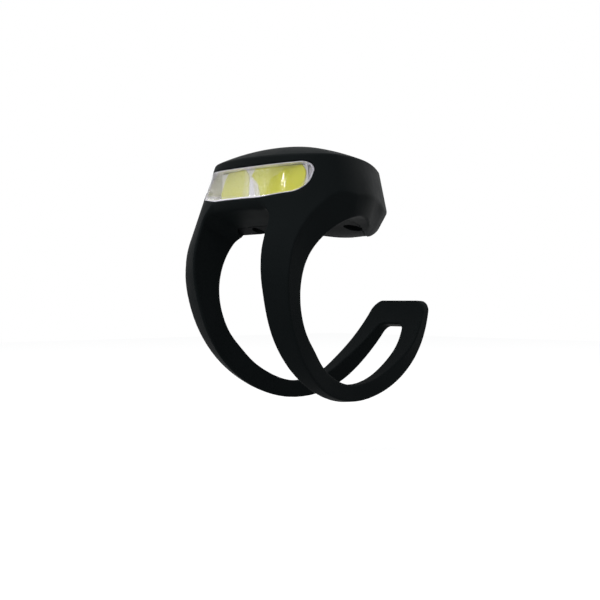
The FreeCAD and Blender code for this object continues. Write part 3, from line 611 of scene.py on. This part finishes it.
def surface(field, low, high, step):
    """Smooth mesh of the zero surface of a field: points, quads and normals.

    Each grid cell that the surface crosses gets one point, each grid edge that it crosses gets one
    quad, and the points are then relaxed and pulled onto the surface in turn.
    """
    axes = [np.arange(a, b + step, step) for a, b in zip(low, high)]
    values = np.ascontiguousarray(np.broadcast_to(
        field(axes[0][:, None, None], axes[1][None, :, None], axes[2][None, None, :]),
        [len(a) for a in axes],
    ))
    inside = values < 0
    cells = tuple(n - 1 for n in values.shape)
    total = np.zeros(cells + (3,))
    count = np.zeros(cells)
    for axis in range(3):
        others = [a for a in range(3) if a != axis]
        for shift in ((0, 0), (0, 1), (1, 0), (1, 1)):
            first = [slice(0, n) for n in cells]
            for other, s in zip(others, shift):
                first[other] = slice(s, cells[other] + s)
            second = list(first)
            second[axis] = slice(1, cells[axis] + 1)
            a = values[tuple(first)]
            b = values[tuple(second)]
            crossed = (a < 0) != (b < 0)
            where = np.nonzero(crossed)
            t = a[where] / (a[where] - b[where])
            count[where] += 1
            total[where + (np.full(len(t), axis),)] += t
            for other, s in zip(others, shift):
                total[where + (np.full(len(t), other),)] += s
    used = np.nonzero(count)
    index = np.full(cells, -1)
    index[used] = np.arange(len(used[0]))
    points = np.stack(used, axis=1) + total[used] / count[used][:, None]
    points = points * step + np.array(low)
    quads = []
    for axis in range(3):
        b_axis, c_axis = (axis + 1) % 3, (axis + 2) % 3
        first = [slice(1, n) for n in cells]
        first[axis] = slice(0, cells[axis])
        second = list(first)
        second[axis] = slice(1, cells[axis] + 1)
        a = inside[tuple(first)]
        b = inside[tuple(second)]
        for rising, mask in ((True, a & ~b), (False, ~a & b)):
            place = np.stack(np.nonzero(mask), axis=1)
            place[:, b_axis] += 1
            place[:, c_axis] += 1
            ring = []
            for s, t in ((1, 1), (0, 1), (0, 0), (1, 0)):
                corner = place.copy()
                corner[:, b_axis] -= s
                corner[:, c_axis] -= t
                ring.append(index[tuple(corner.T)])
            if not rising:
                ring.reverse()
            quads.append(np.stack(ring, axis=1))
    quads = np.concatenate(quads)
    for turn in range(SMOOTH_ROUNDS):
        if turn:
            points = relax(points, quads)
        for _ in range(PULLS_PER_ROUND):
            value, slope = gradient(field, points)
            squared = np.maximum((slope ** 2).sum(axis=1), LEAST_SQUARED_SLOPE)
            move = -value[:, None] * slope / squared[:, None]
            size = np.maximum(np.linalg.norm(move, axis=1), NEVER_NOUGHT)
            points = points + move * np.minimum(1, LONGEST_PULL * step / size)[:, None]
    _, slope = gradient(field, points)
    normals = slope / np.linalg.norm(slope, axis=1)[:, None]
    return points, quads, normals


def gradient(field, points):
    """Value and slope of a field at each point."""
    small = GRADIENT_REACH
    x, y, z = points.T
    slope = np.stack([
        field(x + small, y, z) - field(x - small, y, z),
        field(x, y + small, z) - field(x, y - small, z),
        field(x, y, z + small) - field(x, y, z - small),
    ], axis=1) / (2 * small)
    return field(x, y, z), slope


def relax(points, quads):
    """Move each point half way to the mean of its neighbours."""
    total = np.zeros_like(points)
    count = np.zeros(len(points))
    for a in range(4):
        start = quads[:, a]
        for end in (quads[:, (a + 1) % 4], quads[:, (a + 3) % 4]):
            for axis in range(3):
                total[:, axis] += np.bincount(start, points[end, axis], len(points))
            count += np.bincount(start, minlength=len(points))
    return points + 0.5 * (total / count[:, None] - points)


def mesh_piece(name, points, quads, normals, material):
    """Object from some of the quads of a surface, with the surface's own normals."""
    used, compact = np.unique(quads, return_inverse=True)
    mesh = bpy.data.meshes.new(name)
    mesh.from_pydata((points[used] * MM).tolist(), [], compact.reshape(-1, 4).tolist())
    mesh.polygons.foreach_set("use_smooth", [True] * len(mesh.polygons))
    mesh.normals_split_custom_set_from_vertices(normals[used].tolist())
    mesh.materials.append(material)
    piece = bpy.data.objects.new(name, mesh)
    bpy.context.scene.collection.objects.link(piece)
    return piece


# Materials

def new_material(name):
    """Material with its nodes, links and main shader."""
    material = bpy.data.materials.new(name)
    material.use_nodes = True
    nodes = material.node_tree.nodes
    return material, nodes, material.node_tree.links, nodes["Principled BSDF"]


def object_coordinates(nodes):
    return nodes.new("ShaderNodeTexCoord").outputs["Object"]


def noise(nodes, links, place, scale, detail=2.0):
    """Grey noise, finer with a larger scale."""
    texture = nodes.new("ShaderNodeTexNoise")
    texture.inputs["Scale"].default_value = scale
    texture.inputs["Detail"].default_value = detail
    links.new(place, texture.inputs["Vector"])
    return texture.outputs["Fac"]


def tint(nodes, links, factor, first, second):
    """Colour that goes from the first to the second with the factor."""
    mix = nodes.new("ShaderNodeMix")
    mix.data_type = "RGBA"
    mix.inputs["A"].default_value = tuple(first) + (1,)
    mix.inputs["B"].default_value = tuple(second) + (1,)
    links.new(factor, mix.inputs["Factor"])
    return mix.outputs["Result"]


def bump(nodes, links, shader, height, strength, distance):
    """Fine relief in a shader's normals; distance is in metres."""
    node = nodes.new("ShaderNodeBump")
    node.inputs["Strength"].default_value = strength
    node.inputs["Distance"].default_value = distance
    links.new(height, node.inputs["Height"])
    links.new(node.outputs["Normal"], shader.inputs["Normal"])


def silicone_material():
    """Matte black silicone: a fine grain, a faint mottle and slightly duller patches."""
    material, nodes, links, shader = new_material("silicone")
    shader.inputs["Specular IOR Level"].default_value = SILICONE_SPECULAR
    place = object_coordinates(nodes)
    mottle = noise(nodes, links, place, scale=90.0)
    links.new(tint(nodes, links, mottle, *SILICONE_COLOURS), shader.inputs["Base Color"])
    dull = nodes.new("ShaderNodeMapRange")
    dull.inputs["To Min"].default_value = SILICONE_ROUGHNESS[0]
    dull.inputs["To Max"].default_value = SILICONE_ROUGHNESS[1]
    links.new(noise(nodes, links, place, scale=400.0), dull.inputs["Value"])
    links.new(dull.outputs["Result"], shader.inputs["Roughness"])
    texture = noise(nodes, links, place, scale=9000.0, detail=3.0)
    bump(nodes, links, shader, texture, strength=0.12, distance=0.00005)
    return material


def plain_material(name, colour, roughness, metallic, specular=0.4):
    """Moulded plastic, rubber or metal with a fine grain in its colour and surface."""
    material, nodes, links, shader = new_material(name)
    shader.inputs["Specular IOR Level"].default_value = specular
    shader.inputs["Roughness"].default_value = roughness
    shader.inputs["Metallic"].default_value = metallic
    grains = noise(nodes, links, object_coordinates(nodes), scale=GRAIN_SCALE)
    dark = [c * GRAIN_SHADES[0] for c in colour]
    light = [min(c * GRAIN_SHADES[1], 1) for c in colour]
    links.new(tint(nodes, links, grains, dark, light), shader.inputs["Base Color"])
    bump(nodes, links, shader, grains, strength=0.1, distance=0.00004)
    return material


def lens_material():
    """Clear polished plastic, a little wavy as mouldings are."""
    material, nodes, links, shader = new_material("lens_clear")
    shader.inputs["Base Color"].default_value = LENS_COLOUR + (1,)
    shader.inputs["Roughness"].default_value = LENS_ROUGHNESS
    shader.inputs["IOR"].default_value = LENS_IOR
    shader.inputs["Transmission Weight"].default_value = 1.0
    shader.inputs["Alpha"].default_value = LENS_ALPHA
    waves = noise(nodes, links, object_coordinates(nodes), scale=160.0)
    bump(nodes, links, shader, waves, strength=0.05, distance=0.0001)
    return material


def field_material():
    """Yellow phosphor resin with paler upright streaks."""
    material, nodes, links, shader = new_material("light_yellow")
    shader.inputs["Roughness"].default_value = YELLOW_ROUGHNESS
    place = object_coordinates(nodes)
    stretch = nodes.new("ShaderNodeMapping")
    stretch.inputs["Scale"].default_value = STREAK_STRETCH
    links.new(place, stretch.inputs["Vector"])
    streaks = nodes.new("ShaderNodeMapRange")
    streaks.inputs["From Min"].default_value = STREAK_RANGE[0]
    streaks.inputs["From Max"].default_value = STREAK_RANGE[1]
    links.new(noise(nodes, links, stretch.outputs["Vector"], scale=420.0), streaks.inputs["Value"])
    yellow = tint(nodes, links, streaks.outputs["Result"], *YELLOW_COLOURS)
    links.new(yellow, shader.inputs["Base Color"])
    bump(nodes, links, shader, noise(nodes, links, place, scale=1500.0), strength=0.1, distance=0.00005)
    return material


def bowl_material():
    """Pale reflector plastic with a faint stipple."""
    material, nodes, links, shader = new_material("reflector_pale")
    shader.inputs["Roughness"].default_value = BOWL_ROUGHNESS
    place = object_coordinates(nodes)
    cloud = noise(nodes, links, place, scale=350.0)
    links.new(tint(nodes, links, cloud, *BOWL_COLOURS), shader.inputs["Base Color"])
    bump(nodes, links, shader, noise(nodes, links, place, scale=3000.0), strength=0.25, distance=0.00006)
    return material


# Camera, light and floor

def make_camera():
    """Camera at the photo's distance and focal length, level with the strap."""
    data = bpy.data.cameras.new("camera")
    data.sensor_width = SENSOR_WIDTH
    data.lens = SENSOR_WIDTH * FOCAL_PIXELS / PHOTO_PIXELS
    data.clip_start = 0.01
    camera = bpy.data.objects.new("camera", data)
    bpy.context.scene.collection.objects.link(camera)
    camera.location = Vector(CAMERA_PLACE) * MM
    aim = Vector(CAMERA_AIM) * MM
    camera.rotation_euler = (aim - camera.location).to_track_quat("-Z", "Y").to_euler()
    bpy.context.scene.camera = camera


def area_light(name, place, aim, width, height, power):
    """Rectangular lamp that faces its aim; lengths in millimetres, power in watts."""
    data = bpy.data.lights.new(name, "AREA")
    data.shape = "RECTANGLE"
    data.size = width * MM
    data.size_y = height * MM
    data.energy = power
    light = bpy.data.objects.new(name, data)
    bpy.context.scene.collection.objects.link(light)
    light.location = Vector(place) * MM
    light.rotation_euler = (Vector(aim) * MM - light.location).to_track_quat("-Z", "Y").to_euler()


def seen_directly(nodes, links):
    """One for camera, glossy and transmission rays, and nought for light on the object."""
    path = nodes.new("ShaderNodeLightPath")
    seen = path.outputs["Is Camera Ray"]
    for kind in ("Is Glossy Ray", "Is Transmission Ray"):
        either = nodes.new("ShaderNodeMath")
        either.operation = "MAXIMUM"
        links.new(seen, either.inputs[0])
        links.new(path.outputs[kind], either.inputs[1])
        seen = either.outputs[0]
    return seen


def make_world():
    """White where it is seen, and a soft even light on the object."""
    world = bpy.data.worlds.new("studio")
    world.use_nodes = True
    nodes = world.node_tree.nodes
    links = world.node_tree.links
    nodes.clear()
    out = nodes.new("ShaderNodeOutputWorld")
    white = nodes.new("ShaderNodeBackground")
    soft = nodes.new("ShaderNodeBackground")
    soft.inputs["Color"].default_value = WORLD_COLOUR + (1,)
    soft.inputs["Strength"].default_value = WORLD_STRENGTH
    mix = nodes.new("ShaderNodeMixShader")
    links.new(seen_directly(nodes, links), mix.inputs[0])
    links.new(soft.outputs[0], mix.inputs[1])
    links.new(white.outputs[0], mix.inputs[2])
    links.new(mix.outputs[0], out.inputs[0])
    white.inputs["Color"].default_value = (1, 1, 1, 1)
    bpy.context.scene.world = world


def make_floor():
    """Pale floor that shows the object's shadow, under the reach of the open strap."""
    size = FLOOR_HALF_WIDTH * MM
    z = FLOOR_Z * MM
    mesh = bpy.data.meshes.new("floor")
    corners = [(-size, -size, z), (size, -size, z), (size, size, z), (-size, size, z)]
    mesh.from_pydata(corners, [], [(0, 1, 2, 3)])
    floor = bpy.data.objects.new("floor", mesh)
    bpy.context.scene.collection.objects.link(floor)
    material = bpy.data.materials.new("floor")
    material.use_nodes = True
    nodes = material.node_tree.nodes
    links = material.node_tree.links
    nodes.clear()
    out = nodes.new("ShaderNodeOutputMaterial")
    paint = nodes.new("ShaderNodeBsdfDiffuse")
    paint.inputs["Color"].default_value = (FLOOR_GREY, FLOOR_GREY, FLOOR_GREY, 1)
    glow = nodes.new("ShaderNodeEmission")
    glow.inputs["Strength"].default_value = FLOOR_GLOW
    both = nodes.new("ShaderNodeAddShader")
    links.new(paint.outputs[0], both.inputs[0])
    links.new(glow.outputs[0], both.inputs[1])
    dull = nodes.new("ShaderNodeBsdfDiffuse")
    dull.inputs["Color"].default_value = (FLOOR_DULL_GREY, FLOOR_DULL_GREY, FLOOR_DULL_GREY, 1)
    mix = nodes.new("ShaderNodeMixShader")
    links.new(seen_directly(nodes, links), mix.inputs[0])
    links.new(dull.outputs[0], mix.inputs[1])
    links.new(both.outputs[0], mix.inputs[2])
    links.new(mix.outputs[0], out.inputs[0])
    mesh.materials.append(material)


def strap_section(points):
    """Number of the silicone piece that each point belongs to."""
    turn = angle_of(points[:, 1], points[:, 2])
    section = np.where(points[:, 2] > STRAP_TOP_Z, 0, np.searchsorted(CUT_ANGLES, turn))
    return np.where(points[:, 2] > RIM_Z - BUTTON_SEAM_DROP, len(JOINT_ANGLES), section)


def make_silicone(rubber):
    """The one silicone surface, in pieces that meet at its bends and at the button."""
    names = ["silicone_head", "silicone_legs", "silicone_tail", "silicone_tab", "silicone_dome"]
    stands_for = [
        ["sleeve", "strap_left_upper", "strap_right_upper"],
        ["strap_left_lower", "strap_right_lower"],
        ["strap_left_tail", "strap_right_tail"],
        ["strap_tip"],
        ["button_pad"],
    ]
    points, quads, normals = surface(silicone, *SILICONE_BOX, GRID_STEP)
    section = strap_section(points[quads].mean(axis=1))
    for number, name in enumerate(names):
        piece = mesh_piece(name, points, quads[section == number], normals, rubber)
        if number < len(JOINT_ANGLES):
            joint = next(j for j in frame["joints"] if j["name"] == "strap_flex_%d" % (number + 1))
            centre = Vector(joint["pos_m"])
            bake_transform(piece)
        else:
            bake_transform(piece)
        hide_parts(*stands_for[number])


def make_fine_pieces(looks, slot_of):
    """Lens, reflector, light fields and base plate, each meshed finely in its own box."""
    fine_pieces = [
        ("clear_lens", lens, WINDOW_BOX, "lens"),
        ("reflector_bowl", bowl, WINDOW_BOX, "reflector"),
        ("yellow_field_left", yellow_field(-1), LEFT_FIELD_BOX, "light_field_left"),
        ("yellow_field_right", yellow_field(1), RIGHT_FIELD_BOX, "light_field_right"),
        ("underside_plate", base_plate, PLATE_BOX, "base_plate"),
    ]
    for name, field, box, node in fine_pieces:
        slot = slot_of[node]
        piece = mesh_piece(name, *surface(field, *box, FINE_STEP), looks[slot])
        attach(piece, "head")
        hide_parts(node)


make_camera()
make_world()
make_floor()
for lamp in LAMPS:
    area_light(*lamp)

egg = Egg()
looks = {"silicone": silicone_material()}
make_silicone(looks["silicone"])
for slot, look in SLOT_LOOKS.items():
    looks[slot] = plain_material(slot, *look)
looks["lens_clear"] = lens_material()
looks["light_yellow"] = field_material()
looks["reflector_pale"] = bowl_material()

slot_of = {row["node"]: row["material_slot"] for row in frame["record"]["subparts"]}
make_fine_pieces(looks, slot_of)
for node, piece in frame["nodes"].items():
    if node in slot_of:
        piece.data.materials.clear()
        piece.data.materials.append(looks[slot_of[node]])

bpy.context.scene.view_settings.view_transform = "Standard"
